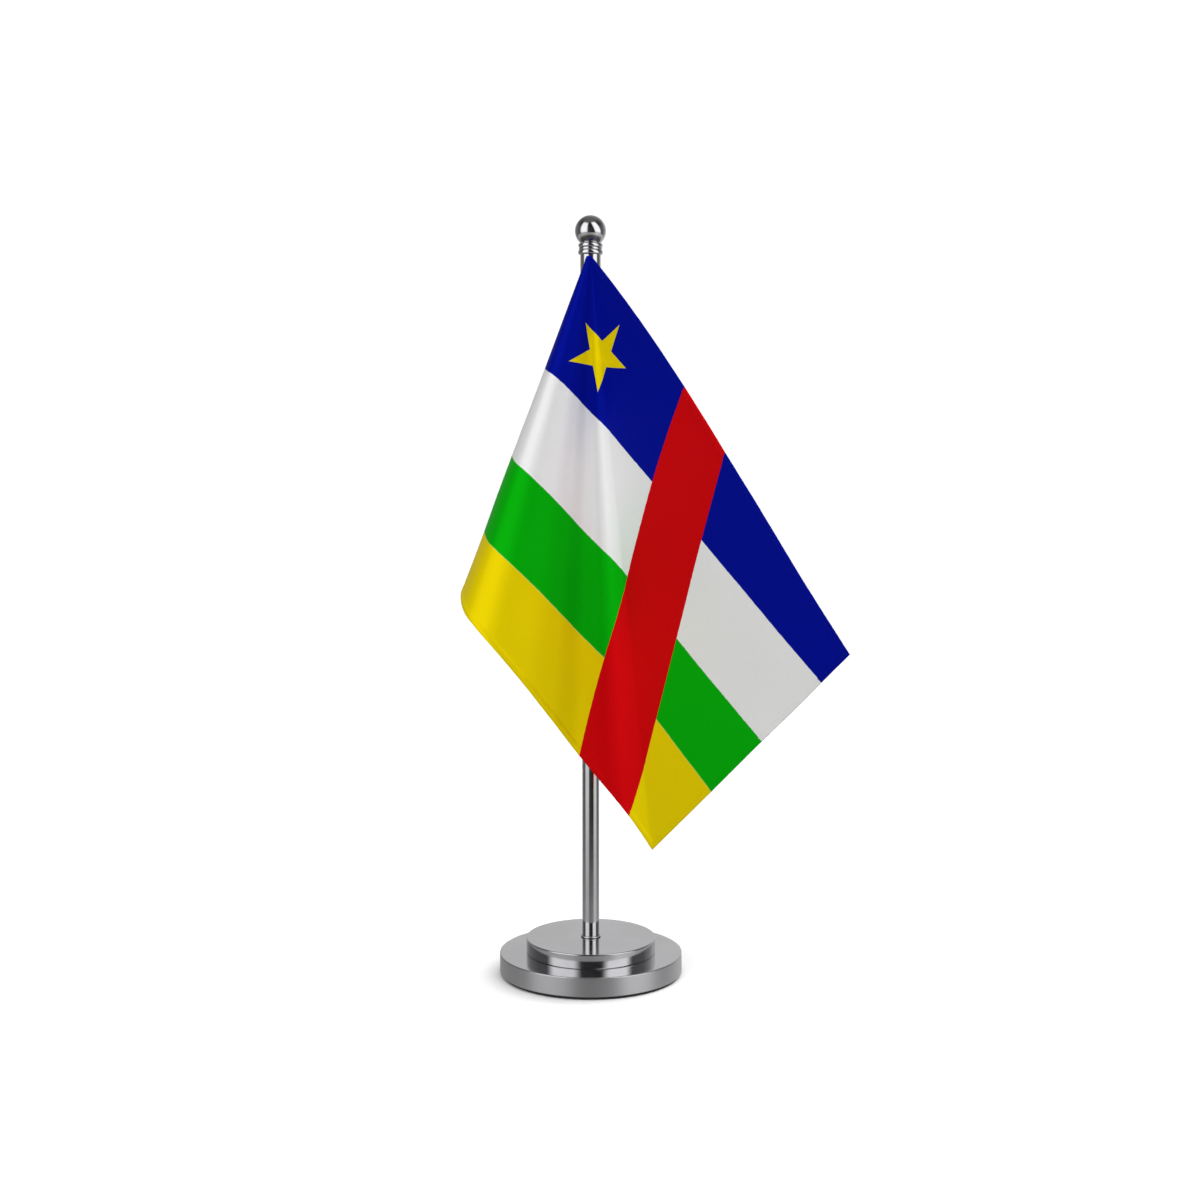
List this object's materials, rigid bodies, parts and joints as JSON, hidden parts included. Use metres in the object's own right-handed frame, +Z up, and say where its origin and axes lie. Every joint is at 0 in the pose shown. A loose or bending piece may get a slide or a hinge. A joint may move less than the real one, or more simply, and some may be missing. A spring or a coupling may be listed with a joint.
{
  "type": "desk flag stand",
  "caption": "Small table flag on a chromed pole with a ball finial and a stepped round metal base; the flag turns on the pole.",
  "frame": {"origin": "centre of the pad's underside, on the pole's axis, on the surface that the stand rests on", "axes": "+Z up the pole, -Y towards the side that the flag's face looks to, +X towards the fly"},
  "size_m": [0.1645, 0.1584, 0.3535],
  "materials": {
    "pad": "black felt",
    "base_metal": "fine turned satin",
    "hardware": "zinc plated",
    "pole_chrome": "polished",
    "insert_brass": "plain",
    "finial_chrome": "polished, dark",
    "flag_satin": "printed satin: four stripes, one upright band and a star",
    "sleeve_satin": "white satin"
  },
  "bodies": {
    "stand": {"base_pad": "pad", "base_lower_disc": "base_metal", "base_upper_disc": "base_metal", "base_flat_washer": "hardware", "base_lock_washer": "hardware", "base_screw": "hardware", "pole_seat_ring": "pole_chrome", "pole_tube": "pole_chrome", "pole_bottom_insert": "insert_brass", "pole_top_insert": "insert_brass"},
    "stud": {"finial_stud": "hardware"},
    "finial": {"finial_ferrule": "finial_chrome", "finial_ball": "finial_chrome"},
    "flag": {"flag_cloth": "flag_satin", "flag_sleeve": "sleeve_satin", "sleeve_eyelet": "insert_brass"}
  },
  "joints": [
    {"name": "flag_swivel", "type": "hinge", "parent": "stand", "child": "flag", "pos_m": [0, 0, 0.3255], "axis": [0, 0, 1], "continuous": true},
    {"name": "finial_rise", "type": "slide", "parent": "stand", "child": "stud", "axis": [0, 0, 1], "range_m": [0, 0.01121]},
    {"name": "finial_turn", "type": "hinge", "parent": "stud", "child": "finial", "pos_m": [0, 0, 0.3271], "axis": [0, 0, 1], "range_deg": [0, 5760]}
  ],
  "couplings": [
    {"joint": "finial_rise", "follows": "finial_turn", "m_per_rad": 0.00011141}
  ]
}
